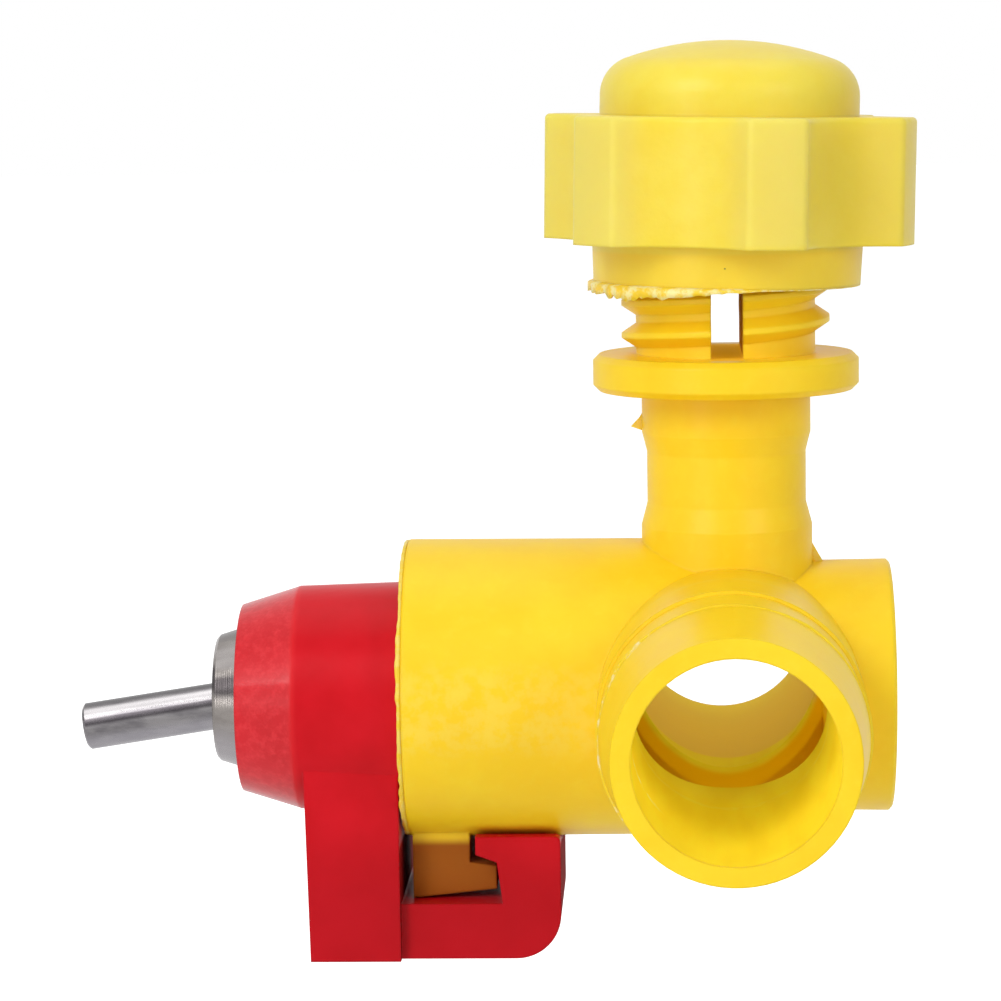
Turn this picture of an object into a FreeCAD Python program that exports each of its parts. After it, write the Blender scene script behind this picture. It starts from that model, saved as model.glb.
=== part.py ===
import FreeCAD, Part
import os
import Sketcher

# Poultry nipple drinker on a tee for a water line of 21 mm bore, with a clamp
# knob for the support wire.  Millimetres, +Z up.  The origin is where the water
# line axis (Y), the nipple branch axis (X) and the clamp stem axis (Z) meet.
# -X points to the nipple's trigger pin, +Z to the clamp knob.

SIZES = [
    # tee: nipple branch and blind stub, both turned about X
    ("branch_reach", 26.6), ("branch_mouth_rad", 12.4), ("branch_root_rad", 12.3),
    ("edge_break", 0.25),
    ("stub_reach", 13.4), ("stub_end_rad", 10.45), ("stub_root_rad", 10.3),
    ("stub_core_rad", 8.3), ("stub_core_deep", 2.6),
    ("socket_rad", 9.5), ("socket_deep", 12.0), ("waterway_rad", 8.9),
    ("waterway_past", 8.2),
    # tee: water line pipe, turned about Y
    ("line_half", 33.3), ("line_bore_rad", 7.85), ("line_rim_rad", 9.4),
    ("line_ring_rad", 10.45), ("line_ring_at", 24.27), ("line_land", 5.6),
    ("line_barrel_rad", 10.75),
    # tee: clamp stem, flange and threaded fork, turned about Z
    ("stem_rad", 6.55), ("stem_flare_rad", 7.05), ("stem_flare_z", 13.6),
    ("stem_flare_high", 1.9), ("stem_start_z", 9.0), ("stem_neck_rad", 6.95),
    ("stem_neck_long", 3.5), ("stem_neck_taper", 1.6),
    ("flange_z", 24.8), ("flange_thick", 3.0), ("flange_rad", 10.93),
    ("flange_round", 0.5),
    ("thread_root_rad", 7.37), ("thread_crest_rad", 8.55), ("thread_pitch", 2.66),
    ("thread_base", 2.3), ("thread_flat", 0.45), ("thread_end_gap", 1.15),
    ("thread_sunk", 0.3),
    ("fork_top_z", 43.6), ("wire_slot", 2.55),
    # tee: bayonet lug below the branch
    ("lug_back_gap", 0.4), ("lug_stem", 4.7), ("lug_lip", 2.2), ("lug_drop", 16.8),
    ("lug_rise", 0.75), ("lug_lip_thick", 1.9), ("lug_half", 5.0),
    # clamp knob, one moulding, turned about Z
    ("skirt_z", 33.58), ("skirt_low_rad", 10.95), ("skirt_top_rad", 11.1),
    ("knob_z", 36.95), ("knob_high", 10.25), ("flute_floor_rad", 12.15),
    ("lobe_reach", 15.3), ("lobe_wide", 4.8), ("lobe_turn", 13.8), ("lobe_count", 6.0),
    ("lobe_round", 0.7), ("knob_round", 0.4),
    ("dome_rad", 10.6), ("dome_high", 6.1), ("dome_crown_rad", 25.0),
    ("dome_shoulder", 3.2),
    ("knob_lean", 1.3), ("knob_bore_gap", 0.55), ("knob_bore_end_gap", 5.7),
    # nipple housing: body of revolution, hanging hook, spigot
    ("nipple_drop", 0.75), ("body_long", 9.05), ("body_back_rad", 9.6),
    ("body_front_rad", 9.32), ("nose_long", 4.8), ("nose_rad", 7.83),
    ("spigot_long", 11.0), ("spigot_gap", 0.15), ("spigot_lead", 0.6),
    ("spigot_core_rad", 6.0), ("spigot_core_deep", 8.6), ("groove_back", 5.4),
    ("groove_wide", 2.4), ("groove_deep", 1.45), ("seal_gap", 0.03),
    ("feed_rad", 3.6),
    ("arm_front_inset", 0.7), ("arm_gap", 0.5), ("arm_draft", 0.4), ("arm_half", 8.1),
    ("hook_half", 7.1), ("foot_root", 1.0), ("finger_top", 11.25),
    ("finger_round", 0.5), ("finger_lean", 0.45), ("barb_slant", 0.65),
    ("hook_bottom", 21.45), ("foot_thick", 4.6), ("hook_reach", 12.68),
    ("finger_wide", 5.25), ("barb_long", 1.75), ("barb_bottom", 13.4),
    ("hook_round", 3.7), ("branch_gap", 0.3),
    # steel valve body, turned about the nipple axis
    ("collar_long", 2.15), ("collar_back_rad", 5.89), ("collar_front_rad", 5.3),
    ("collar_break", 0.25), ("shank_rad", 4.9), ("shank_gap", 0.05),
    ("chamber_at", 1.25), ("throat_rad", 2.45), ("throat_long", 1.1),
    ("mouth_rad", 2.7), ("chamber_rad", 3.4), ("head_room", 0.5),
    ("shank_seal_at", 2.2), ("shank_seal_wide", 1.6), ("shank_seal_deep", 0.9),
    ("shank_end_gap", 0.1),
    # trigger pin
    ("pin_rad", 1.95), ("pin_long", 15.95), ("pin_rest_gap", 0.07),
    ("pin_chamfer", 0.2), ("head_rad", 2.85), ("head_thick", 1.2),
    # upper valve: seat ring, ball and cage
    ("seat_thick", 1.2), ("seat_hole_rad", 1.3), ("insert_gap", 0.02),
    ("ball_rad", 1.75), ("ball_clear", 0.06), ("ball_travel", 0.9),
    ("ball_seat_gap", 0.02), ("cage_wall", 0.75), ("cage_hole_rad", 1.15),
    ("cage_slot_wide", 1.2), ("cage_slot_rad", 2.75), ("cage_slots", 3.0),
]

doc = FreeCAD.newDocument("nipple_drinker")
sheet = doc.addObject("Spreadsheet::Sheet", "Sizes")
for row, (word, number) in enumerate(SIZES, start=1):
    sheet.set("A%d" % row, word)
    sheet.set("B%d" % row, repr(number))
    sheet.setAlias("B%d" % row, word)
doc.recompute()


def bound(text):
    """An expression on the sheet: bare size names become Sizes.name."""
    out = ""
    word = ""
    for letter in text + " ":
        if letter.isalnum() or letter == "_":
            word += letter
            continue
        known = [name for name, _ in SIZES if name == word]
        out += ("Sizes." + word) if known else word
        out += letter
        word = ""
    return out.strip()


def number(text):
    value = sheet.evalExpression(bound(text))
    return float(getattr(value, "Value", value))


def new_body(label):
    body = doc.addObject("PartDesign::Body", label)
    body.Label = label
    return body


def plane(body, role):
    return [f for f in body.Origin.OriginFeatures if f.Role == role][0]


def blank(body, role, name, lift=None, turned=None, shift=None):
    """An empty sketch on an origin plane, lifted off it, turned or shifted."""
    sketch = body.newObject("Sketcher::SketchObject", name)
    sketch.AttachmentSupport = [(plane(body, role), "")]
    sketch.MapMode = "FlatFace"
    if turned:
        upright = FreeCAD.Rotation(FreeCAD.Vector(0, 0, 1), number(turned))
        sketch.AttachmentOffset = FreeCAD.Placement(FreeCAD.Vector(0, 0, 0), upright)
        sketch.setExpression(".AttachmentOffset.Rotation.Angle", bound(turned))
    if lift:
        sketch.setExpression(".AttachmentOffset.Base.z", bound(lift))
    if shift:
        sketch.setExpression(".AttachmentOffset.Base.y", bound(shift))
    return sketch


def pin_point(sketch, geo, end, across, up):
    """Holds one end of a line at sheet-driven coordinates."""
    for kind, text, axis in (("DistanceX", across, -2), ("DistanceY", up, -1)):
        if text == "0":
            sketch.addConstraint(Sketcher.Constraint("PointOnObject", geo, end, axis))
            continue
        rule = Sketcher.Constraint(kind, -1, 1, geo, end, number(text))
        index = sketch.addConstraint(rule)
        sketch.setExpression("Constraints[%d]" % index, bound(text))


def outline(body, role, name, points, **where):
    """A closed outline whose corners are expressions on the sheet.

    A third entry at a corner is the radius of a counter-clockwise arc from
    there to the next corner; otherwise the side is straight.
    """
    sketch = blank(body, role, name, **where)
    spots = [FreeCAD.Vector(number(p[0]), number(p[1]), 0) for p in points]
    count = len(spots)
    for i, point in enumerate(points):
        here, there = spots[i], spots[(i + 1) % count]
        if len(point) < 3:
            sketch.addGeometry(Part.LineSegment(here, there), False)
            continue
        radius = number(point[2])
        half = (there - here) * 0.5
        left = FreeCAD.Vector(-half.y, half.x, 0).normalize()
        centre = here + half + left * (radius ** 2 - half.Length ** 2) ** 0.5
        middle = centre - left * radius
        sketch.addGeometry(Part.Arc(here, middle, there), False)
    for i in range(count):
        sketch.addConstraint(Sketcher.Constraint("Coincident", i, 2, (i + 1) % count, 1))
    for i, point in enumerate(points):
        pin_point(sketch, i, 1, point[0], point[1])
        if len(point) > 2:
            rule = Sketcher.Constraint("Radius", i, number(point[2]))
            index = sketch.addConstraint(rule)
            sketch.setExpression("Constraints[%d]" % index, bound(point[2]))
    return sketch


def disc(body, role, name, across, up, radius, **where):
    """A circle whose centre and radius are expressions on the sheet."""
    sketch = blank(body, role, name, **where)
    middle = FreeCAD.Vector(number(across), number(up), 0)
    circle = Part.Circle(middle, FreeCAD.Vector(0, 0, 1), number(radius))
    sketch.addGeometry(circle, False)
    pin_point(sketch, 0, 3, across, up)
    index = sketch.addConstraint(Sketcher.Constraint("Radius", 0, number(radius)))
    sketch.setExpression("Constraints[%d]" % index, bound(radius))
    return sketch


def ring_of(body, feature, sketch, count):
    """Repeats a feature round its sketch's normal axis."""
    pattern = body.newObject("PartDesign::PolarPattern", "ring")
    pattern.Originals = [feature]
    pattern.Axis = (sketch, ["N_Axis"])
    pattern.Angle = 360
    pattern.setExpression("Occurrences", bound(count))
    body.Tip = pattern
    doc.recompute()
    return pattern


def turn(body, kind, sketch, axis):
    """Revolution or Groove through a full turn about a sketch axis."""
    feature = body.newObject("PartDesign::" + kind, kind)
    feature.Profile = sketch
    feature.ReferenceAxis = (sketch, [axis])
    feature.Angle = 360.0
    doc.recompute()
    return feature


def push(body, kind, sketch, length, midplane=True):
    """Pad or Pocket, symmetric about its sketch plane."""
    feature = body.newObject("PartDesign::" + kind, kind)
    feature.Profile = sketch
    feature.Midplane = midplane
    feature.setExpression("Length", bound(length))
    doc.recompute()
    return feature


def edges_where(feature, test):
    names = []
    for i, edge in enumerate(feature.Shape.Edges, start=1):
        if not edge.Degenerated and test(edge):
            names.append("Edge%d" % i)
    return names


def soften(body, kind, feature, names, size):
    """Fillet or Chamfer on the named edges of a feature."""
    if not names:
        raise RuntimeError("no edge to soften on " + body.Label)
    dress = body.newObject("PartDesign::" + kind, kind)
    dress.Base = (feature, names)
    dress.setExpression("Radius" if kind == "Fillet" else "Size", bound(size))
    doc.recompute()
    return dress


def circle_at(edge, axis, radius, place):
    """True for a full circle of this radius about an axis, at a coordinate."""
    curve = edge.Curve
    if not isinstance(curve, Part.Circle) or abs(curve.Radius - radius) > 0.01:
        return False
    along = {"X": 0, "Y": 1, "Z": 2}[axis]
    direction = abs(curve.Axis[along])
    return direction > 0.999 and abs(curve.Center[along] - place) < 0.01


# ---- tee body: one moulding ------------------------------------------------
tee = new_body("tee_body")

stem_profile = outline(tee, "XZ_Plane", "stem_profile", [
    ("0", "stem_start_z"),
    ("stem_flare_rad", "stem_start_z"),
    ("stem_flare_rad", "stem_flare_z"),
    ("stem_rad", "stem_flare_z + stem_flare_high"),
    ("stem_rad", "flange_z - stem_neck_long - stem_neck_taper"),
    ("stem_neck_rad", "flange_z - stem_neck_long"),
    ("stem_neck_rad", "flange_z"),
    ("flange_rad - flange_round", "flange_z"),
    ("flange_rad", "flange_z + flange_round"),
    ("flange_rad", "flange_z + flange_thick - flange_round"),
    ("flange_rad - flange_round", "flange_z + flange_thick"),
    ("thread_root_rad", "flange_z + flange_thick"),
    ("thread_root_rad", "fork_top_z"),
    ("0", "fork_top_z"),
])
turn(tee, "Revolution", stem_profile, "V_Axis")

# right-handed thread: one ridge carried round the fork from the flange up
ridge_start = "flange_z + flange_thick + thread_base / 2 - thread_sunk"
ridge = outline(tee, "YZ_Plane", "thread_ridge", [
    ("thread_root_rad - 0.2", ridge_start + " - thread_base / 2"),
    ("thread_crest_rad", ridge_start + " - thread_flat / 2"),
    ("thread_crest_rad", ridge_start + " + thread_flat / 2"),
    ("thread_root_rad - 0.2", ridge_start + " + thread_base / 2"),
])
thread = tee.newObject("PartDesign::AdditiveHelix", "thread")
thread.Profile = ridge
thread.ReferenceAxis = (ridge, ["V_Axis"])
thread.Mode = "pitch-height-angle"
thread.setExpression("Pitch", bound("thread_pitch"))
thread.setExpression("Height", bound(
    "fork_top_z - thread_end_gap - thread_base / 2 - (%s)" % ridge_start))
doc.recompute()

slot_profile = outline(tee, "XZ_Plane", "wire_slot_profile", [
    ("-wire_slot / 2", "flange_z + flange_thick"),
    ("wire_slot / 2", "flange_z + flange_thick"),
    ("wire_slot / 2", "fork_top_z + 1"),
    ("-wire_slot / 2", "fork_top_z + 1"),
])
push(tee, "Pocket", slot_profile, "2 * thread_crest_rad + 2")

# water line pipe: straight barrel with a tapered spigot at each end
pipe_profile = outline(tee, "YZ_Plane", "pipe_profile", [
    ("-line_half", "0"),
    ("-line_half", "line_rim_rad"),
    ("-line_ring_at", "line_ring_rad"),
    ("-line_ring_at + line_land", "line_ring_rad"),
    ("-line_ring_at + line_land", "line_barrel_rad"),
    ("line_ring_at - line_land", "line_barrel_rad"),
    ("line_ring_at - line_land", "line_ring_rad"),
    ("line_ring_at", "line_ring_rad"),
    ("line_half", "line_rim_rad"),
    ("line_half", "0"),
])
turn(tee, "Revolution", pipe_profile, "H_Axis")

branch_profile = outline(tee, "XZ_Plane", "branch_profile", [
    ("-branch_reach", "0"),
    ("-branch_reach", "branch_mouth_rad - edge_break"),
    ("-branch_reach + edge_break", "branch_mouth_rad"),
    ("0", "branch_root_rad"),
    ("0.4", "stub_root_rad"),
    ("stub_reach - edge_break", "stub_end_rad"),
    ("stub_reach", "stub_end_rad - edge_break"),
    ("stub_reach", "0"),
])
turn(tee, "Revolution", branch_profile, "H_Axis")

# bayonet lug that the nipple's hook closes round
lug_profile = outline(tee, "XZ_Plane", "lug_profile", [
    ("-branch_reach + lug_back_gap", "-branch_root_rad + 2"),
    ("-branch_reach + lug_back_gap", "-lug_drop"),
    ("-branch_reach + lug_back_gap + lug_stem + lug_lip", "-lug_drop + lug_rise"),
    ("-branch_reach + lug_back_gap + lug_stem + lug_lip",
     "-lug_drop + lug_rise + lug_lip_thick"),
    ("-branch_reach + lug_back_gap + lug_stem",
     "-lug_drop + lug_rise + lug_lip_thick + 0.3"),
    ("-branch_reach + lug_back_gap + lug_stem", "-branch_root_rad + 2"),
])
push(tee, "Pad", lug_profile, "2 * lug_half")

# cores: water line bore, branch waterway with its socket, blind stub recess
line_core = outline(tee, "YZ_Plane", "line_core", [
    ("-line_half - 1", "0"),
    ("-line_half - 1", "line_bore_rad"),
    ("line_half + 1", "line_bore_rad"),
    ("line_half + 1", "0"),
])
turn(tee, "Groove", line_core, "H_Axis")

branch_core = outline(tee, "XZ_Plane", "branch_core", [
    ("-branch_reach - 1", "0"),
    ("-branch_reach - 1", "socket_rad"),
    ("-branch_reach + socket_deep", "socket_rad"),
    ("-branch_reach + socket_deep + 1", "waterway_rad"),
    ("waterway_past", "waterway_rad"),
    ("waterway_past", "0"),
])
turn(tee, "Groove", branch_core, "H_Axis")

stub_core = outline(tee, "XZ_Plane", "stub_core", [
    ("stub_reach - stub_core_deep", "0"),
    ("stub_reach - stub_core_deep", "stub_core_rad"),
    ("stub_reach + 1", "stub_core_rad"),
    ("stub_reach + 1", "0"),
])
turn(tee, "Groove", stub_core, "H_Axis")

# ---- clamp knob: skirt, six-lobed grip and dome ----------------------------
cap = new_body("cap_nut")
knob_top = "knob_z + knob_high"
crown_edge = ("(knob_z + knob_high + dome_high - dome_crown_rad"
              " + sqrt(dome_crown_rad ^ 2 - dome_rad ^ 2))")
knob_profile = outline(cap, "XZ_Plane", "knob_profile", [
    ("0", "skirt_z"),
    ("skirt_low_rad", "skirt_z"),
    ("skirt_top_rad", "knob_z"),
    ("lobe_reach", "knob_z"),
    ("lobe_reach", knob_top),
    ("dome_rad", knob_top),
    ("dome_rad", crown_edge, "dome_crown_rad"),
    ("0", knob_top + " + dome_high"),
])
dome = turn(cap, "Revolution", knob_profile, "V_Axis")
dome_z = number(crown_edge)
dome_edge = edges_where(dome, lambda e: circle_at(e, "Z", number("dome_rad"), dome_z))
soften(cap, "Fillet", dome, dome_edge, "dome_shoulder")

# scalloped flutes between the lobes; each leaves a lobe of the named width
flute_half = "(180 deg / lobe_count - asin(lobe_wide / 2 / lobe_reach))"
flute_sag = "(lobe_reach * cos%s - flute_floor_rad)" % flute_half
flute_chord = "(lobe_reach * sin%s)" % flute_half
flute_rad = "((%s ^ 2 + %s ^ 2) / (2 * %s))" % (flute_chord, flute_sag, flute_sag)
flute_sketch = disc(cap, "XY_Plane", "flute", "0",
                    "-flute_floor_rad - " + flute_rad, flute_rad,
                    lift="knob_z + knob_high / 2",
                    turned="lobe_turn * 1 deg + 180 deg / lobe_count")
flute = push(cap, "Pocket", flute_sketch, "knob_high + 1")
scallops = ring_of(cap, flute, flute_sketch, "lobe_count")


def upright_corner(edge):
    ends = edge.Vertexes
    if len(ends) != 2 or not isinstance(edge.Curve, Part.Line):
        return False
    rise = abs(ends[0].Z - ends[1].Z)
    reach = (ends[0].X ** 2 + ends[0].Y ** 2) ** 0.5
    return rise > number("knob_high") * 0.9 and reach > number("lobe_reach") - 0.05


corners = soften(cap, "Fillet", scallops, edges_where(scallops, upright_corner),
                 "lobe_round")


def grip_rim(edge):
    box = edge.BoundBox
    flat = box.ZLength < 0.001
    top = abs(box.ZMin - number(knob_top)) < 0.001
    clear = min((v.X ** 2 + v.Y ** 2) ** 0.5 for v in edge.Vertexes)
    return flat and top and clear > number("flute_floor_rad") - 0.3


rim = soften(cap, "Fillet", corners, edges_where(corners, grip_rim), "knob_round")

knob_core = outline(cap, "XZ_Plane", "knob_core", [
    ("0", "skirt_z - 1"),
    ("thread_crest_rad + knob_bore_gap", "skirt_z - 1"),
    ("thread_crest_rad + knob_bore_gap", "fork_top_z + knob_bore_end_gap"),
    ("0", "fork_top_z + knob_bore_end_gap"),
])
turn(cap, "Groove", knob_core, "V_Axis")

# the knob sits on its loose thread with a slight lean about the flange top
seat_z = "(flange_z + flange_thick)"
lean = FreeCAD.Rotation(FreeCAD.Vector(0, 1, 0), number("knob_lean"))
cap.Placement = FreeCAD.Placement(FreeCAD.Vector(0, 0, 0), lean)
cap.setExpression("Placement.Rotation.Angle", bound("knob_lean"))
cap.setExpression("Placement.Base.x", bound("-%s * sin(knob_lean * 1 deg)" % seat_z))
cap.setExpression("Placement.Base.z",
                  bound("%s * (1 - cos(knob_lean * 1 deg))" % seat_z))

# ---- nipple housing: hook, body, nose and spigot, one moulding -------------
housing = new_body("nipple_housing")
arm_front = "-branch_reach - body_long + arm_front_inset"
arm_back = "-branch_reach - arm_gap"
arm_profile = outline(housing, "XZ_Plane", "arm_profile", [
    (arm_front, "-nipple_drop"),
    (arm_front + " + arm_draft", "-hook_bottom"),
    (arm_back, "-hook_bottom"),
    (arm_back, "-nipple_drop"),
])
push(housing, "Pad", arm_profile, "2 * arm_half")

hook_back = "-branch_reach + hook_reach"
foot_top = "-hook_bottom + foot_thick"
hook_profile = outline(housing, "XZ_Plane", "hook_profile", [
    (arm_back + " - foot_root", foot_top),
    (arm_back + " - foot_root", "-hook_bottom"),
    (hook_back + " - hook_round", "-hook_bottom", "hook_round"),
    (hook_back, "-hook_bottom + hook_round"),
    (hook_back, "-finger_top - finger_round", "finger_round"),
    (hook_back + " - finger_round", "-finger_top"),
    (hook_back + " - finger_wide - barb_long", "-finger_top"),
    (hook_back + " - finger_wide - barb_long", "-barb_bottom + barb_slant"),
    (hook_back + " - finger_wide", "-barb_bottom"),
    (hook_back + " - finger_wide + finger_lean", foot_top),
])
push(housing, "Pad", hook_profile, "2 * hook_half")

branch_room = outline(housing, "XZ_Plane", "branch_room", [
    ("-branch_reach - arm_gap / 2", "0"),
    ("-branch_reach - arm_gap / 2", "branch_mouth_rad + branch_gap"),
    ("0", "branch_mouth_rad + branch_gap"),
    ("0", "0"),
])
turn(housing, "Groove", branch_room, "H_Axis")

nose_face = "-branch_reach - body_long - nose_long"
body_profile = outline(housing, "XZ_Plane", "body_profile", [
    ("-branch_reach", "0"),
    ("-branch_reach", "body_back_rad"),
    ("-branch_reach - body_long", "body_front_rad"),
    (nose_face, "nose_rad"),
    (nose_face, "0"),
], shift="-nipple_drop")
turn(housing, "Revolution", body_profile, "H_Axis")

spigot_rad = "socket_rad - spigot_gap"
groove_floor = "socket_rad - spigot_gap - groove_deep"
spigot_profile = outline(housing, "XZ_Plane", "spigot_profile", [
    ("-branch_reach", "0"),
    ("-branch_reach", spigot_rad),
    ("-branch_reach + groove_back", spigot_rad),
    ("-branch_reach + groove_back", groove_floor),
    ("-branch_reach + groove_back + groove_wide", groove_floor),
    ("-branch_reach + groove_back + groove_wide", spigot_rad),
    ("-branch_reach + spigot_long - spigot_lead", spigot_rad),
    ("-branch_reach + spigot_long", spigot_rad + " - spigot_lead"),
    ("-branch_reach + spigot_long", "0"),
])
turn(housing, "Revolution", spigot_profile, "H_Axis")

# stations along the nipple axis, from the nose face back to the valve cage
shoulder = "(-branch_reach - body_long - nose_long + chamber_at)"
pivot = "(%s + head_room + head_thick / 2)" % shoulder
seat_front = "(%s + head_thick / 2 + head_room)" % pivot
seat_back = "(%s + seat_thick)" % seat_front
ball_centre = ("(%s + sqrt(ball_rad ^ 2 - seat_hole_rad ^ 2) + ball_seat_gap)"
               % seat_back)
cage_floor = "(%s + ball_rad + ball_travel + ball_seat_gap)" % ball_centre
cage_back = "(%s + cage_wall)" % cage_floor

valve_room = outline(housing, "XZ_Plane", "valve_room", [
    (nose_face + " - 1", "0"),
    (nose_face + " - 1", "shank_rad + shank_gap"),
    (cage_back + " + shank_end_gap", "shank_rad + shank_gap"),
    (cage_back + " + shank_end_gap", "feed_rad"),
    ("-branch_reach + spigot_long - spigot_core_deep + 1", "feed_rad"),
    ("-branch_reach + spigot_long - spigot_core_deep + 1", "0"),
], shift="-nipple_drop")
turn(housing, "Groove", valve_room, "H_Axis")

spigot_core = outline(housing, "XZ_Plane", "spigot_core", [
    ("-branch_reach + spigot_long - spigot_core_deep", "0"),
    ("-branch_reach + spigot_long - spigot_core_deep", "spigot_core_rad"),
    ("-branch_reach + spigot_long + 1", "spigot_core_rad"),
    ("-branch_reach + spigot_long + 1", "0"),
])
turn(housing, "Groove", spigot_core, "H_Axis")

# ---- steel valve body: collar, shank, throat and chamber -------------------
valve = new_body("valve_body")
collar_front = nose_face + " - collar_long"
seal_start = nose_face + " + shank_seal_at"
seal_floor = "shank_rad - shank_seal_deep"
valve_profile = outline(valve, "XZ_Plane", "valve_profile", [
    (collar_front, "mouth_rad"),
    (collar_front, "collar_front_rad - collar_break"),
    (collar_front + " + collar_break", "collar_front_rad"),
    (nose_face, "collar_back_rad"),
    (nose_face, "shank_rad"),
    (seal_start, "shank_rad"),
    (seal_start, seal_floor),
    (seal_start + " + shank_seal_wide", seal_floor),
    (seal_start + " + shank_seal_wide", "shank_rad"),
    (cage_back, "shank_rad"),
    (cage_back, "chamber_rad"),
    (shoulder, "chamber_rad"),
    (shoulder, "throat_rad"),
    (shoulder + " - throat_long", "throat_rad"),
    (shoulder + " - throat_long", "mouth_rad"),
], shift="-nipple_drop")
turn(valve, "Revolution", valve_profile, "H_Axis")

# ---- trigger pin: shaft and valve head, drooping on the collar's mouth -----
pin = new_body("trigger_pin")
pin_profile = outline(pin, "XZ_Plane", "pin_profile", [
    ("head_thick / 2", "0"),
    ("head_thick / 2", "head_rad"),
    ("-head_thick / 2", "head_rad"),
    ("-head_thick / 2", "pin_rad"),
    ("-pin_long + pin_chamfer", "pin_rad"),
    ("-pin_long", "pin_rad - pin_chamfer"),
    ("-pin_long", "0"),
])
turn(pin, "Revolution", pin_profile, "H_Axis")
pin_reach = "(%s - (%s))" % (pivot, collar_front)
pin_droop = "asin((mouth_rad - pin_rest_gap - pin_rad) / %s)" % pin_reach
down = FreeCAD.Rotation(FreeCAD.Vector(0, -1, 0), number(pin_droop))
pin.Placement = FreeCAD.Placement(FreeCAD.Vector(0, 0, 0), down)
pin.setExpression("Placement.Base.x", bound(pivot))
pin.setExpression("Placement.Base.z", bound("-nipple_drop"))
pin.setExpression("Placement.Rotation.Angle", bound(pin_droop))

# ---- upper valve: seat ring, ball and cage ---------------------------------
seat = new_body("seat_ring")
seat_profile = outline(seat, "XZ_Plane", "seat_profile", [
    (seat_front, "seat_hole_rad"),
    (seat_front, "chamber_rad - insert_gap"),
    (seat_back, "chamber_rad - insert_gap"),
    (seat_back, "seat_hole_rad"),
], shift="-nipple_drop")
turn(seat, "Revolution", seat_profile, "H_Axis")

cage = new_body("ball_cage")
cage_profile = outline(cage, "XZ_Plane", "cage_profile", [
    (seat_back, "ball_rad + ball_clear"),
    (seat_back, "chamber_rad - insert_gap"),
    (cage_back, "chamber_rad - insert_gap"),
    (cage_back, "cage_hole_rad"),
    (cage_floor, "cage_hole_rad"),
    (cage_floor, "ball_rad + ball_clear"),
], shift="-nipple_drop")
turn(cage, "Revolution", cage_profile, "H_Axis")
slot_sketch = outline(cage, "YZ_Plane", "cage_slot", [
    ("-cage_slot_wide / 2", "0"),
    ("cage_slot_wide / 2", "0"),
    ("cage_slot_wide / 2", "cage_slot_rad"),
    ("-cage_slot_wide / 2", "cage_slot_rad"),
], lift=seat_back, shift="-nipple_drop")
slot = push(cage, "Pocket", slot_sketch, "4 * (%s - %s)" % (cage_back, seat_back))
ring_of(cage, slot, slot_sketch, "cage_slots")

ball = doc.addObject("Part::Sphere", "valve_ball")
ball.Label = "valve_ball"
ball.setExpression("Radius", bound("ball_rad"))
ball.setExpression("Placement.Base.x", bound(ball_centre))
ball.setExpression("Placement.Base.z", bound("-nipple_drop"))


# ---- rubber rings ----------------------------------------------------------
def rubber_ring(label, floor, wall, middle, drop):
    """An O-ring that just clears its groove floor and its bore wall."""
    ring = doc.addObject("Part::Torus", label)
    ring.Label = label
    ring.setExpression("Radius1", bound("((%s) + (%s)) / 2" % (floor, wall)))
    section = "((%s) - (%s)) / 2 - seal_gap" % (wall, floor)
    ring.setExpression("Radius2", bound(section))
    lying = FreeCAD.Rotation(FreeCAD.Vector(0, 1, 0), 90)
    ring.Placement = FreeCAD.Placement(FreeCAD.Vector(0, 0, 0), lying)
    ring.setExpression("Placement.Base.x", bound(middle))
    ring.setExpression("Placement.Base.z", bound(drop))
    return ring


spigot_seal = rubber_ring("spigot_seal", groove_floor, "socket_rad",
                          "-branch_reach + groove_back + groove_wide / 2", "0")
valve_seal = rubber_ring("valve_seal", seal_floor, "shank_rad + shank_gap",
                         seal_start + " + shank_seal_wide / 2", "-nipple_drop")

# ---- check and write -------------------------------------------------------
doc.recompute()
for item in doc.Objects:
    if "Invalid" in item.State or "Error" in item.State:
        raise RuntimeError("failed: %s %s" % (item.Name, item.State))
os.makedirs("parts", exist_ok=True)
for item in [tee, cap, housing, valve, pin, seat, cage, ball, spigot_seal, valve_seal]:
    shape = item.Shape
    if shape.isNull() or not shape.isValid() or len(shape.Solids) != 1:
        raise RuntimeError("bad shape: " + item.Label)
    box = shape.BoundBox
    print("%-15s %9.1f mm3  x %.2f..%.2f  y %.2f..%.2f  z %.2f..%.2f"
          % (item.Label, shape.Volume, box.XMin, box.XMax, box.YMin, box.YMax,
             box.ZMin, box.ZMax))
    shape.exportStep("parts/%s.step" % item.Label)
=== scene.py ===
import bpy
import bmesh
import math
from mathutils import Matrix, Vector, noise


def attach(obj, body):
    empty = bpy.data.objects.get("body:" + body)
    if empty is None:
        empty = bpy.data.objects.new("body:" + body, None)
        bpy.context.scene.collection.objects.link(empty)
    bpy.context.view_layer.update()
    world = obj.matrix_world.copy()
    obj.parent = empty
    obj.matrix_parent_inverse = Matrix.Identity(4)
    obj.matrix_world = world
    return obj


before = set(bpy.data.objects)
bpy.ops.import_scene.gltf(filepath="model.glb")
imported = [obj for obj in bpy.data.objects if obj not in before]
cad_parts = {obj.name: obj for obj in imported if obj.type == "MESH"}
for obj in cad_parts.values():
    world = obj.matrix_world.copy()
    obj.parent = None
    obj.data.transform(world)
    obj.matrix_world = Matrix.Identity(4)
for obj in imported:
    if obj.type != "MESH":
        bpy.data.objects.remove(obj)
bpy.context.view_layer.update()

MM = 0.001

# ---- sizes of the mouldings, in millimetres --------------------------------
X_AXIS, Y_AXIS = 0, 1


def reach_of(node, axis, side):
    """How far a CAD node reaches along an axis, low (-1) or high (1)."""
    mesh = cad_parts[node].data
    return side * max(side * vertex.co[axis] for vertex in mesh.vertices) / MM


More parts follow.
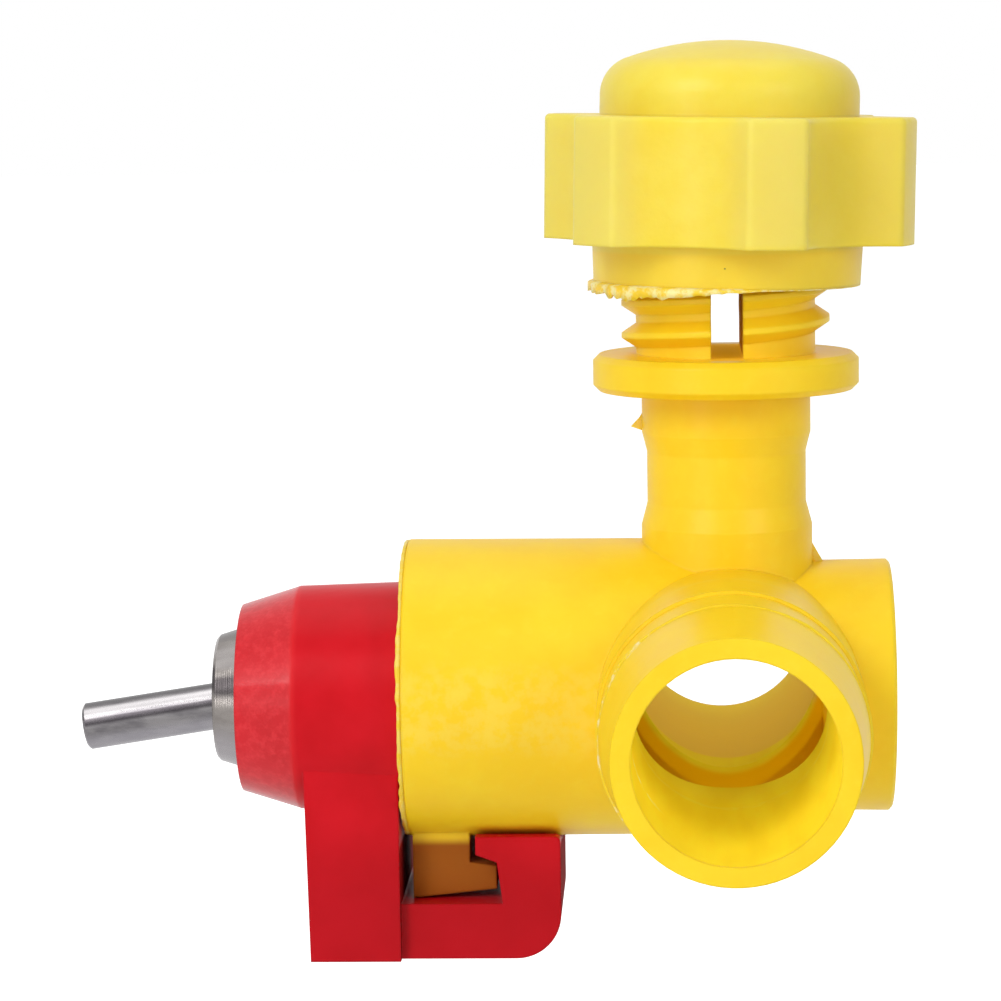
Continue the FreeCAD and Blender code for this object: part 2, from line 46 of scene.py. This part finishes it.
BRANCH_END = reach_of("tee_body", X_AXIS, -1)
LINE_END = reach_of("tee_body", Y_AXIS, 1)
BRANCH_RADIUS = 12.4
LINE_BORE = 7.85
WATERWAY_RADIUS = 8.9
WATERWAY_HALF = 8.2
RING_PLACE = 24.27
RING_RADIUS = 10.45
FLANGE_TOP = 27.8
SLOT_HALF = 1.275
FORK_RADIUS = 8.55
LUG_TOP = -11.6
SKIRT_LOW = 33.58
SKIRT_RADIUS = 10.93
GRIP_LOW, GRIP_TOP = 36.95, 47.2
KNOB_LEAN = math.radians(1.3)
NIPPLE_DROP = 0.75
NOSE_ROOT = -35.6
COLLAR_ROOT, COLLAR_END = -40.4, -43.0


# ---- shader helpers --------------------------------------------------------
class Wire:
    """An output socket; arithmetic on it adds the nodes that work it out."""

    def __init__(self, finish, socket):
        self.finish = finish
        self.socket = socket

    def _math(self, operation, first, second=0.0, clamp=False):
        return self.finish.node("ShaderNodeMath",
                                {"operation": operation, "use_clamp": clamp},
                                [first, second])

    def __add__(self, other):
        return self._math("ADD", self, other)

    __radd__ = __add__

    def __sub__(self, other):
        return self._math("SUBTRACT", self, other)

    def __rsub__(self, other):
        return self._math("SUBTRACT", other, self)

    def __mul__(self, other):
        return self._math("MULTIPLY", self, other)

    __rmul__ = __mul__

    def __pow__(self, other):
        return self._math("POWER", self, other)

    def __neg__(self):
        return self._math("MULTIPLY", self, -1.0)

    def __abs__(self):
        return self._math("ABSOLUTE", self)

    def clamped(self):
        return self._math("ADD", self, 0.0, clamp=True)

    def ramp(self, low, high):
        """0 below low, 1 above high, smooth between."""
        return self.finish.node("ShaderNodeMapRange",
                                {"interpolation_type": "SMOOTHSTEP"},
                                {"Value": self, "From Min": low, "From Max": high})


class Finish:
    """One material: a node tree that ends in a Principled shader."""

    def __init__(self, name, **constants):
        self.material = bpy.data.materials.new(name)
        self.material.use_nodes = True
        self.tree = self.material.node_tree
        self.tree.nodes.clear()
        self.shader = self.tree.nodes.new("ShaderNodeBsdfPrincipled")
        output = self.tree.nodes.new("ShaderNodeOutputMaterial")
        self.tree.links.new(self.shader.outputs[0], output.inputs["Surface"])
        for socket, value in constants.items():
            self.shader.inputs[socket.replace("_", " ")].default_value = value

    def node(self, kind, settings=None, values=None, out=0):
        """Adds a node: settings first, then socket values or links."""
        made = self.tree.nodes.new(kind)
        for key, value in (settings or {}).items():
            setattr(made, key, value)
        pairs = values.items() if isinstance(values, dict) else enumerate(values or [])
        for key, value in pairs:
            socket = made.inputs[key]
            if isinstance(value, Wire):
                self.tree.links.new(value.socket, socket)
            else:
                socket.default_value = value
        return Wire(self, made.outputs[out])

    def place(self):
        """Object coordinates in millimetres."""
        at = self.node("ShaderNodeTexCoord", out="Object")
        return self.node("ShaderNodeVectorMath", {"operation": "SCALE"},
                         {"Vector": at, "Scale": 1000.0})

    def axes(self, at):
        parts = self.tree.nodes.new("ShaderNodeSeparateXYZ")
        self.tree.links.new(at.socket, parts.inputs[0])
        return [Wire(self, parts.outputs[i]) for i in range(3)]

    def vector(self, across, along, up):
        return self.node("ShaderNodeCombineXYZ", None, [across, along, up])

    def cloud(self, at, size, detail=3.0, rough=0.5):
        """Noise with features of about this size in millimetres, 0 to 1."""
        return self.node("ShaderNodeTexNoise", None,
                         {"Vector": at, "Scale": 1.0 / size, "Detail": detail,
                          "Roughness": rough})

    def blend(self, mask, low, high):
        made = self.tree.nodes.new("ShaderNodeMix")
        made.data_type = "RGBA"
        for key, value in ((0, mask), (6, low), (7, high)):
            if isinstance(value, Wire):
                self.tree.links.new(value.socket, made.inputs[key])
            elif key:
                made.inputs[key].default_value = tuple(value) + (1.0,)
            else:
                made.inputs[key].default_value = value
        return Wire(self, made.outputs[2])

    def near(self, at, spot, reach, edge=0.5):
        """1 close to a point, 0 beyond its reach, in millimetres."""
        gap = self.node("ShaderNodeVectorMath", {"operation": "DISTANCE"},
                        [at, spot], out="Value")
        return 1.0 - gap.ramp(reach * (1.0 - edge), reach)

    def bump(self, height, depth, under=None):
        """A bump of this depth in millimetres over an optional normal."""
        values = {"Height": height, "Distance": depth * MM, "Strength": 1.0}
        if under:
            values["Normal"] = under
        return self.node("ShaderNodeBump", None, values)

    def rounded(self, radius):
        """Normals that round every edge by this radius in millimetres."""
        return self.node("ShaderNodeBevel", {"samples": 4}, {"Radius": radius * MM})

    def feed(self, **sockets):
        for socket, value in sockets.items():
            target = self.shader.inputs[socket.replace("_", " ")]
            self.tree.links.new(value.socket, target)


# ---- materials -------------------------------------------------------------
def yellow_plastic():
    """Glossy yellow moulding: flow marks, scuffs and faint draw lines."""
    paint = Finish("yellow_plastic", Subsurface_Weight=0.18, Subsurface_Scale=0.0022,
                   Subsurface_Radius=(1.0, 0.6, 0.06), IOR=1.46,
                   Specular_IOR_Level=0.3, Emission_Strength=1.0)
    at = paint.place()
    across, along, up = paint.axes(at)
    flow = paint.cloud(at, 9.0, 4.0, 0.6)
    mottle = paint.cloud(at, 1.1, 3.0, 0.6)
    colour = paint.blend(flow.ramp(0.3, 0.7), (0.95, 0.622, 0.010),
                         (0.98, 0.682, 0.018))
    colour = paint.blend(mottle.ramp(0.5, 0.85) * 0.2, colour, (1.0, 0.78, 0.06))
    # painted shade: the lug is thick plastic and lies in the branch's shade, so it is
    # coloured dark brown
    lug_shade_mask = (LUG_TOP - up).ramp(0.0, 0.9) * (-15.0 - across).ramp(0.0, 1.0)
    colour = paint.blend(lug_shade_mask * 0.95, colour, (0.33, 0.07, 0.002))
    # painted light: the bore and the floor of the wire slot are given a faint glow for
    # the light their walls let in
    core = (across * across + up * up) ** 0.5
    bore = ((1.0 - core.ramp(WATERWAY_RADIUS + 0.1, WATERWAY_RADIUS + 0.4))
            * (1.0 - abs(along).ramp(LINE_END - 0.7, LINE_END - 0.02)))
    slot = ((1.0 - abs(across).ramp(SLOT_HALF + 0.015, SLOT_HALF + 0.045))
            * up.ramp(FLANGE_TOP - 0.2, FLANGE_TOP - 0.1)
            * (1.0 - abs(along).ramp(FORK_RADIUS - 0.25, FORK_RADIUS + 0.05)))
    haze = paint.cloud(paint.vector(across * 0.8, along * 0.16, up * 0.8), 1.6, 4.0)
    painted_bore_glow = paint.blend(haze.ramp(0.35, 0.65), (0.12, 0.14, 0.003),
                          (0.16, 0.19, 0.006))
    painted_bore_glow = paint.blend(along.ramp(WATERWAY_HALF, WATERWAY_HALF + 0.4), painted_bore_glow,
                          (0.12, 0.11, 0.02))
    painted_bore_glow = paint.blend(core.ramp(LINE_BORE + 0.1, LINE_BORE + 0.55), painted_bore_glow,
                          (0.17, 0.085, 0.0))
    glow = paint.blend(bore, (0.0, 0.0, 0.0), painted_bore_glow)
    floor_of_slot = slot * (1.0 - up.ramp(FLANGE_TOP + 0.05, FLANGE_TOP + 0.3))
    glow = paint.blend(floor_of_slot, glow, (0.30, 0.15, 0.003))
    # painted shade: the bore and the wire slot are coloured darker
    colour = paint.blend(bore * 0.6, colour, (0.80, 0.58, 0.012))
    colour = paint.blend(slot * 0.6, colour, (0.60, 0.30, 0.01))
    # paler patches at the near spigot's ring, on its left side where the light falls:
    # partly a whitened, knocked edge, partly a painted highlight
    gap = abs(along + RING_PLACE)
    worn_and_highlight = ((1.0 - gap.ramp(0.15, 0.75)) * (-across - 5.0).ramp(0.0, 3.0)
            * paint.cloud(at, 1.3, 4.0, 0.7).ramp(0.45, 0.62))
    colour = paint.blend(worn_and_highlight * 0.85, colour, (1.0, 0.88, 0.55))
    # scuffed weld line where the near spigot meets the branch
    weld = 1.0 - abs(along + BRANCH_RADIUS).ramp(0.1, 0.9)
    colour = paint.blend(weld * mottle.ramp(0.35, 0.6) * 0.35, colour,
                         (0.96, 0.72, 0.12))
    for spot, size in (((0.3, -6.6, 9.2), 0.16), ((6.2, -9.6, 27.3), 0.09),
                       ((2.4, -6.6, 15.6), 0.06), ((-3.0, -22.0, 9.6), 0.10)):
        colour = paint.blend(paint.near(at, spot, size), colour, (0.10, 0.05, 0.01))
    grain = paint.cloud(at, 0.35, 4.0, 0.6)
    scratch = paint.cloud(at, 2.5, 6.0, 0.65)
    drawn = paint.cloud(paint.vector(across * 0.12, along * 2.2, up * 2.2), 1.0)
    height = grain * 0.35 + scratch * 0.5 + drawn * 0.25
    dull = (bore + slot).clamped() * 0.5 + lug_shade_mask * 0.35
    paint.feed(Base_Color=colour, Emission_Color=glow,
               Roughness=flow * 0.14 + mottle * 0.12 + worn_and_highlight * 0.2 + dull + 0.27,
               Normal=paint.bump(height, 0.035, paint.rounded(0.28)))
    return paint.material


def pale_plastic():
    """Softer, see-through yellow of the knob."""
    paint = Finish("pale_yellow_plastic", Subsurface_Weight=0.45,
                   Subsurface_Scale=0.0035, Subsurface_Radius=(1.0, 0.78, 0.16),
                   IOR=1.46, Specular_IOR_Level=0.35)
    at = paint.place()
    across, along, up = paint.axes(at)
    flow = paint.cloud(at, 7.0, 4.0, 0.6)
    mottle = paint.cloud(at, 0.8, 3.0, 0.6)
    colour = paint.blend(flow.ramp(0.3, 0.7), (0.86, 0.655, 0.045), (0.89, 0.71, 0.08))
    # the thick middle of each flute is deeper in colour than the lobes
    reach = (across * across + along * along) ** 0.5
    thin = ((reach - 12.6).ramp(0.0, 2.4) * up.ramp(GRIP_LOW - 0.45, GRIP_LOW + 0.55)
            * (GRIP_TOP + 1.0 - up).ramp(0.0, 1.0))
    colour = paint.blend(thin * 0.55, colour, (0.79, 0.68, 0.16))
    # painted shade: darker towards the knob's right side; painted light: paler towards
    # its left side
    colour = paint.blend(across.ramp(4.0, 12.0) * 0.5, colour, (0.76, 0.57, 0.04))
    colour = paint.blend((-across).ramp(6.0, 13.0) * 0.35, colour, (0.78, 0.66, 0.14))
    skirt = (GRIP_LOW - 0.35 - up).ramp(0.0, 0.4)
    colour = paint.blend(skirt * 0.7, colour, (0.93, 0.64, 0.035))
    for spot, size in (((-1.3, -9.4, 49.6), 0.16), ((-0.2, -11.0, 35.3), 0.09),
                       ((3.6, -15.1, 43.1), 0.07), ((-2.2, -12.6, 44.0), 0.06)):
        colour = paint.blend(paint.near(at, spot, size), colour, (0.14, 0.11, 0.03))
    height = paint.cloud(at, 0.4, 4.0, 0.6) * 0.4 + paint.cloud(at, 2.0, 5.0, 0.6) * 0.7
    paint.feed(Base_Color=colour, Roughness=flow * 0.18 + mottle * 0.1 + 0.24,
               Normal=paint.bump(height, 0.045, paint.rounded(0.35)))
    return paint.material


def red_plastic():
    """Deep red moulding, crackled and shiny at the nose."""
    paint = Finish("red_plastic", Subsurface_Weight=0.06, Subsurface_Scale=0.001,
                   Subsurface_Radius=(1.0, 0.08, 0.05), IOR=1.48,
                   Specular_IOR_Level=0.12, Coat_Roughness=0.13)
    at = paint.place()
    across, along, up = paint.axes(at)
    flow = paint.cloud(at, 6.0, 3.0, 0.5)
    crackle = paint.cloud(at, 0.8, 5.0, 0.7)
    colour = paint.blend(flow.ramp(0.3, 0.7), (0.56, 0.004, 0.010),
                         (0.64, 0.006, 0.015))
    nose = (NOSE_ROOT + 0.1 - across).ramp(0.0, 0.5)
    # painted highlight: the nose's crackle is picked out in lighter red
    colour = paint.blend(nose * crackle.ramp(0.4, 0.7) * 0.5, colour,
                         (0.80, 0.035, 0.045))
    edge = 1.0 - abs(across - NOSE_ROOT).ramp(0.0, 0.5)
    colour = paint.blend(edge * 0.35, colour, (0.78, 0.03, 0.035))
    # painted shade: darker towards the bottom
    low = (-8.0 - up).ramp(0.0, 9.0)
    colour = paint.blend(low * 0.5, colour, (0.40, 0.003, 0.009))
    # the arm's and the foot's faces that look towards the tee lie in shade
    facing = paint.axes(paint.node("ShaderNodeNewGeometry", out="Normal"))[0]
    shade = facing.ramp(0.6, 0.9) * (LUG_TOP - up).ramp(0.0, 1.0)
    colour = paint.blend(shade * 0.8, colour, (0.16, 0.002, 0.004))
    height = paint.cloud(at, 1.6, 3.0, 0.5) * 0.5 + crackle * nose * 0.5
    paint.feed(Base_Color=colour, Roughness=flow * 0.12 + shade * 0.5 + 0.26,
               Coat_Weight=nose * 0.5,
               Normal=paint.bump(height, 0.045, paint.rounded(0.3)))
    return paint.material


def turned_steel():
    """Polished steel: streaked along the pin, turned rings on the collar."""
    paint = Finish("steel", Metallic=1.0, IOR=2.5)
    at = paint.place()
    across, along, up = paint.axes(at)
    collar = ((COLLAR_ROOT - across).ramp(0.0, 0.2)
              * (across - COLLAR_END).ramp(0.0, 0.2))
    drawn = paint.vector(across * 0.4, along * 1.5, up * 1.5)
    streak = paint.cloud(drawn, 1.2, 4.0, 0.6)
    colour = paint.blend(streak.ramp(0.3, 0.7), (0.17, 0.16, 0.17), (0.29, 0.275, 0.28))
    colour = paint.blend(collar * 0.5, colour, (0.36, 0.32, 0.28))
    # painted reflection: the dark and bright bands a polished round bar mirrors,
    # painted by which way each face points
    facing = paint.axes(paint.node("ShaderNodeNewGeometry", out="Normal"))[2]
    painted_dark_band = facing.ramp(0.08, 0.25) * (1.0 - facing.ramp(0.4, 0.52))
    colour = paint.blend(painted_dark_band * 0.85, colour, (0.035, 0.03, 0.035))
    painted_gleam = (facing.ramp(0.5, 0.6) * (1.0 - facing.ramp(0.75, 0.88))
             * (1.0 - collar * 0.75))
    colour = paint.blend(painted_gleam * 0.85, colour, (0.76, 0.73, 0.74))
    painted_dark_crown = facing.ramp(0.85, 0.96)
    colour = paint.blend(painted_dark_crown * 0.6, colour, (0.08, 0.075, 0.08))
    painted_pale_belly = (-facing).ramp(0.1, 0.6)
    colour = paint.blend(painted_pale_belly * 0.5, colour, (0.46, 0.44, 0.48))
    away = along * along + (up + NIPPLE_DROP) * (up + NIPPLE_DROP)
    rings = paint.node("ShaderNodeTexNoise", None,
                       {"Vector": paint.vector(across * 7.0, away ** 0.5 * 7.0, 0.0),
                        "Scale": 1.0, "Detail": 4.0})
    height = rings * collar * 0.6 + streak * 0.3
    paint.feed(Base_Color=colour, Roughness=rings * 0.1 + streak * 0.14 + 0.14,
               Normal=paint.bump(height, 0.02, paint.rounded(0.2)))
    return paint.material


def plain(name, colour, rough, metal=0.0):
    paint = Finish(name, Metallic=metal)
    at = paint.place()
    fleck = paint.cloud(at, 0.6, 3.0, 0.6)
    darker = tuple(c * 0.85 for c in colour)
    paint.feed(Base_Color=paint.blend(fleck, darker, colour),
               Roughness=fleck * 0.15 + rough)
    return paint.material


def torn_plastic():
    """Thin flash, whitened where it tore, most of all under the knob."""
    paint = Finish("torn_plastic", Subsurface_Weight=0.4, Subsurface_Scale=0.001,
                   Subsurface_Radius=(1.0, 0.7, 0.2), IOR=1.46,
                   Specular_IOR_Level=0.35, Roughness=0.42)
    at = paint.place()
    up = paint.axes(at)[2]
    patch = paint.cloud(at, 0.9, 3.0, 0.6).ramp(0.4, 0.6)
    pale = patch * (up.ramp(FLANGE_TOP, SKIRT_LOW - 3.0) * 0.7 + 0.3)
    paint.feed(Base_Color=paint.blend(pale, (0.94, 0.62, 0.03), (0.98, 0.84, 0.36)))
    return paint.material


YELLOW = yellow_plastic()
PALE = pale_plastic()
RED = red_plastic()
STEEL = turned_steel()
TORN = torn_plastic()
RUBBER = plain("rubber", (0.02, 0.02, 0.021), 0.6)
WHITE = plain("white_plastic", (0.75, 0.75, 0.72), 0.4)

NODE_FINISH = {
    "tee_body": YELLOW, "cap_nut": PALE, "nipple_housing": RED,
    "valve_body": STEEL, "trigger_pin": STEEL, "seat_ring": STEEL,
    "valve_ball": STEEL, "spigot_seal": RUBBER, "valve_seal": RUBBER,
    "ball_cage": WHITE,
}
for node, finish in NODE_FINISH.items():
    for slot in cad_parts[node].material_slots:
        slot.material = finish

# ---- moulding flash and torn edges -----------------------------------------
STEPS = 260


def ragged(seed, turn, coarse=3.0, fine=11.0):
    """A repeatable uneven value round a ring, about 0 to 1."""
    spot = Vector((math.cos(turn), math.sin(turn), seed))
    value = 0.6 * noise.noise(spot * coarse) + 0.4 * noise.noise(spot * fine)
    return min(1.0, max(0.0, 0.5 + 0.8 * value))


def keep(name, bm, body, finish, smooth):
    """Makes a mesh, worked in millimetres, a piece that rides on a body."""
    bmesh.ops.scale(bm, vec=(MM, MM, MM), verts=bm.verts)
    bmesh.ops.recalc_face_normals(bm, faces=bm.faces)
    mesh = bpy.data.meshes.new(name)
    bm.to_mesh(mesh)
    bm.free()
    if smooth:
        mesh.shade_smooth()
    mesh.materials.append(finish)
    piece = bpy.data.objects.new(name, mesh)
    bpy.context.scene.collection.objects.link(piece)
    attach(piece, body)


def flash_ring(name, section, fray, place, body, finish):
    """Flash round an edge. A closed section of (along, reach) points is spun,
    fray moves each point, and place lays it round the edge's own axis."""
    bm = bmesh.new()
    points = [bm.verts.new((reach, 0.0, along)) for along, reach in section]
    sides = [bm.edges.new((points[i - 1], points[i])) for i in range(len(points))]
    bmesh.ops.spin(bm, geom=points + sides, cent=(0, 0, 0), axis=(0, 0, 1),
                   angle=2.0 * math.pi, steps=STEPS, use_merge=True)
    for vert in bm.verts:
        turn = math.atan2(vert.co.y, vert.co.x)
        along, reach = fray(vert.co.z, math.hypot(vert.co.x, vert.co.y), turn)
        vert.co = place(along, reach, turn)
    keep(name, bm, body, finish, smooth=True)


def fin(name, outline, thick, body, finish):
    """A thin flat fin, its (x, z) outline standing in the middle plane."""
    bm = bmesh.new()
    face = bm.faces.new([bm.verts.new((x, -thick / 2.0, z)) for x, z in outline])
    made = bmesh.ops.extrude_face_region(bm, geom=[face])["geom"]
    bmesh.ops.translate(bm, vec=(0, thick, 0),
                        verts=[g for g in made if isinstance(g, bmesh.types.BMVert)])
    keep(name, bm, body, finish, smooth=False)


def round_branch(along, reach, turn):
    """About the branch: turn 0 is up, a quarter turn is the front."""
    return (along, -reach * math.sin(turn), reach * math.cos(turn))


def round_line(along, reach, turn):
    """About the water line: turn 0 is the stub's side."""
    return (reach * math.cos(turn), along, reach * math.sin(turn))


def round_knob(along, reach, turn):
    """About the knob, which leans from the flange's top."""
    x, rise = reach * math.cos(turn), along - FLANGE_TOP
    return (x * math.cos(KNOB_LEAN) + rise * math.sin(KNOB_LEAN),
            reach * math.sin(turn),
            FLANGE_TOP + rise * math.cos(KNOB_LEAN) - x * math.sin(KNOB_LEAN))


# torn lip round the mouth of the nipple branch, longest at the front
def fray_branch(share, reach, turn):
    front = 0.3 + 0.7 * max(0.0, math.sin(turn - math.radians(15.0)))
    tip = 0.14 + 0.5 * front * ragged(1.3, turn, 2.0, 13.0)
    return (BRANCH_END + 0.1 - share * tip, reach + 0.05 * ragged(4.1, turn, 5.0, 17.0))


LIP = BRANCH_RADIUS - 0.08
flash_ring("branch_flash",
           [(0, LIP), (1, LIP - 0.04), (1, LIP - 0.22), (0, LIP - 0.45)],
           fray_branch, round_branch, "drinker", TORN)

# low moulding ridges where each spigot's taper starts
RIDGE_FOOT = RING_RADIUS - 0.15
RIDGE_CREST = RING_RADIUS + 0.05
RIDGE = [(-0.3, RIDGE_FOOT), (-0.06, RIDGE_CREST),
         (0.06, RIDGE_CREST), (0.3, RIDGE_FOOT)]
for side, name in ((-1.0, "front_ring_flash"), (1.0, "back_ring_flash")):
    def fray_ridge(along, reach, turn):
        if reach > RING_RADIUS:
            reach += 0.16 * ragged(7.7 * side, turn, 2.5, 15.0)
        else:
            wide = 0.22 + 0.16 * ragged(2.2 * side, turn, 3.0, 9.0)
            along = math.copysign(wide, along)
        return side * RING_PLACE + along, reach

    flash_ring(name, RIDGE, fray_ridge, round_line, "drinker", YELLOW)

# small flash spur left on the stem, and the web beside its foot
fin("stem_spur", [(-6.6, 21.3), (-7.85, 21.75), (-7.15, 22.5), (-6.6, 23.4)], 0.44,
    "drinker", TORN)
fin("stem_web", [(6.3, 9.6), (8.1, 9.9), (7.85, 10.5), (6.95, 12.1), (6.3, 12.3)], 0.6,
    "drinker", TORN)


# torn flash hanging from the knob's skirt, longest at its front left; it
# curls out so far that it passes outside the flange when the knob is down
SKIRT_ROOT = SKIRT_LOW + 0.17
SHELF = 0.1
SHELF_DROP = 0.2
CURL = 0.19
SKIRT_THICK = 0.3


def fray_skirt(drop, reach, turn):
    here = max(0.0, math.cos(turn - math.radians(212.0))) ** 3.0
    hang = 0.05 + here * (0.35 + 1.7 * ragged(3.3, turn, 4.0, 19.0) ** 1.6)
    thick = 0.18 + 0.25 * here * ragged(8.2, turn, 6.0, 21.0)
    out = max(0.0, reach - SKIRT_RADIUS - CURL) * thick / SKIRT_THICK
    if drop > 0.0:
        reach = SKIRT_RADIUS - thick + min(1.0, 10.0 * here) * (thick + CURL) + out
    past = max(0.0, drop - SHELF) / (1.0 - SHELF)
    height = SKIRT_ROOT - SHELF_DROP * min(drop, SHELF) / SHELF - past * hang
    return height, reach


flash_ring("skirt_flash",
           [(0, SKIRT_RADIUS - 0.06), (SHELF, SKIRT_RADIUS + CURL + SKIRT_THICK),
            (1, SKIRT_RADIUS + CURL + SKIRT_THICK), (0.95, SKIRT_RADIUS + CURL),
            (SHELF, SKIRT_RADIUS + CURL), (0, SKIRT_RADIUS - 0.4)],
           fray_skirt, round_knob, "knob", TORN)

# ---- floor, light and camera -----------------------------------------------
scene = bpy.context.scene
FLOOR_Z = -45.0 * MM
FLOOR_HALF = 3.0
FLOOR_TINT = (0.9, 0.9, 0.9, 1.0)
FLOOR_LIFT = 0.72
MIRRORED_WHITE = 0.95
ROOM_LIGHT = 0.41
ROOM_WHITE = 1.0


def mixed(tree, mask, first, second):
    """A Mix Shader node between two shader nodes."""
    mix = tree.nodes.new("ShaderNodeMixShader")
    tree.links.new(mask, mix.inputs[0])
    tree.links.new(first.outputs[0], mix.inputs[1])
    tree.links.new(second.outputs[0], mix.inputs[2])
    return mix


def ray_mask(tree, *kinds):
    """1 for rays of any of these kinds."""
    path = tree.nodes.new("ShaderNodeLightPath")
    socket = path.outputs[kinds[0]]
    for kind in kinds[1:]:
        both = tree.nodes.new("ShaderNodeMath")
        both.operation = "MAXIMUM"
        tree.links.new(socket, both.inputs[0])
        tree.links.new(path.outputs[kind], both.inputs[1])
        socket = both.outputs[0]
    return socket


def studio_white(name, tint, lift):
    """A pale floor: mirrors see plain white, and the camera sees its own
    diffuse shade, shadow included, lifted by a faint glow."""
    material = bpy.data.materials.new(name)
    material.use_nodes = True
    tree = material.node_tree
    tree.nodes.clear()
    diffuse = tree.nodes.new("ShaderNodeBsdfDiffuse")
    diffuse.inputs["Color"].default_value = tint
    glow = tree.nodes.new("ShaderNodeEmission")
    glow.inputs["Strength"].default_value = lift
    lifted = tree.nodes.new("ShaderNodeAddShader")
    tree.links.new(diffuse.outputs[0], lifted.inputs[0])
    tree.links.new(glow.outputs[0], lifted.inputs[1])
    white = tree.nodes.new("ShaderNodeEmission")
    white.inputs["Strength"].default_value = MIRRORED_WHITE
    seen = mixed(tree, ray_mask(tree, "Is Camera Ray"), diffuse, lifted)
    last = mixed(tree, ray_mask(tree, "Is Glossy Ray", "Is Transmission Ray"),
                 seen, white)
    out = tree.nodes.new("ShaderNodeOutputMaterial")
    tree.links.new(last.outputs[0], out.inputs["Surface"])
    return material


bm = bmesh.new()
bmesh.ops.create_grid(bm, x_segments=1, y_segments=1, size=FLOOR_HALF,
                      matrix=Matrix.Translation((0, 0, FLOOR_Z)))
floor_mesh = bpy.data.meshes.new("floor")
bm.to_mesh(floor_mesh)
bm.free()
floor = bpy.data.objects.new("floor", floor_mesh)
floor_mesh.materials.append(studio_white("floor_white", FLOOR_TINT, FLOOR_LIFT))
scene.collection.objects.link(floor)

world = bpy.data.worlds.new("studio")
scene.world = world
world.use_nodes = True
tree = world.node_tree
tree.nodes.clear()
dim = tree.nodes.new("ShaderNodeBackground")
dim.inputs["Strength"].default_value = ROOM_LIGHT
white = tree.nodes.new("ShaderNodeBackground")
white.inputs["Strength"].default_value = ROOM_WHITE
for node in (dim, white):
    node.inputs["Color"].default_value = (1, 1, 1, 1)
mix = mixed(tree, ray_mask(tree, "Is Camera Ray", "Is Glossy Ray",
                           "Is Transmission Ray"), dim, white)
out = tree.nodes.new("ShaderNodeOutputWorld")
tree.links.new(mix.outputs[0], out.inputs["Surface"])

TARGET = Vector((-5, 0, 12)) * MM
# place and size in metres, power in watts
LAMPS = {
    "key_left": ((-0.30, -0.42, 0.34), (0.22, 0.30), 1.5),
    "fill_right": ((0.34, -0.40, 0.22), (0.18, 0.26), 0.65),
    "low_left": ((-0.40, -0.56, 0.05), (0.10, 0.12), 0.35),
    "top": ((0.0, 0.05, 0.55), (0.40, 0.40), 0.6),
}


def softbox(name, place, size, power):
    light = bpy.data.lights.new(name, "AREA")
    light.shape = "RECTANGLE"
    light.size, light.size_y = size
    light.energy = power
    lamp = bpy.data.objects.new(name, light)
    lamp.location = Vector(place)
    lamp.rotation_euler = (TARGET - lamp.location).to_track_quat("-Z", "Y").to_euler()
    scene.collection.objects.link(lamp)
    return lamp


for name, (place, size, power) in LAMPS.items():
    softbox(name, place, size, power)

SENSOR_WIDE = 36.0
LENS = 125.874
camera_data = bpy.data.cameras.new("camera")
camera_data.sensor_width = SENSOR_WIDE
camera_data.lens = LENS
camera_data.clip_start = 0.01
camera = bpy.data.objects.new("camera", camera_data)
CAMERA_PLACE = Vector((-5.08, -288.091, 51.406))
CAMERA_RIGHT = Vector((0.99885, 0.04548, -0.01518))
CAMERA_DOWN = Vector((-0.00946, -0.12355, -0.99229))
CAMERA_AHEAD = Vector((-0.04701, 0.99129, -0.12298))
turned = Matrix((CAMERA_RIGHT, -CAMERA_DOWN, -CAMERA_AHEAD)).transposed()
camera.matrix_world = Matrix.Translation(CAMERA_PLACE * MM) @ turned.to_4x4()
scene.collection.objects.link(camera)
scene.camera = camera
scene.view_settings.view_transform = "Standard"
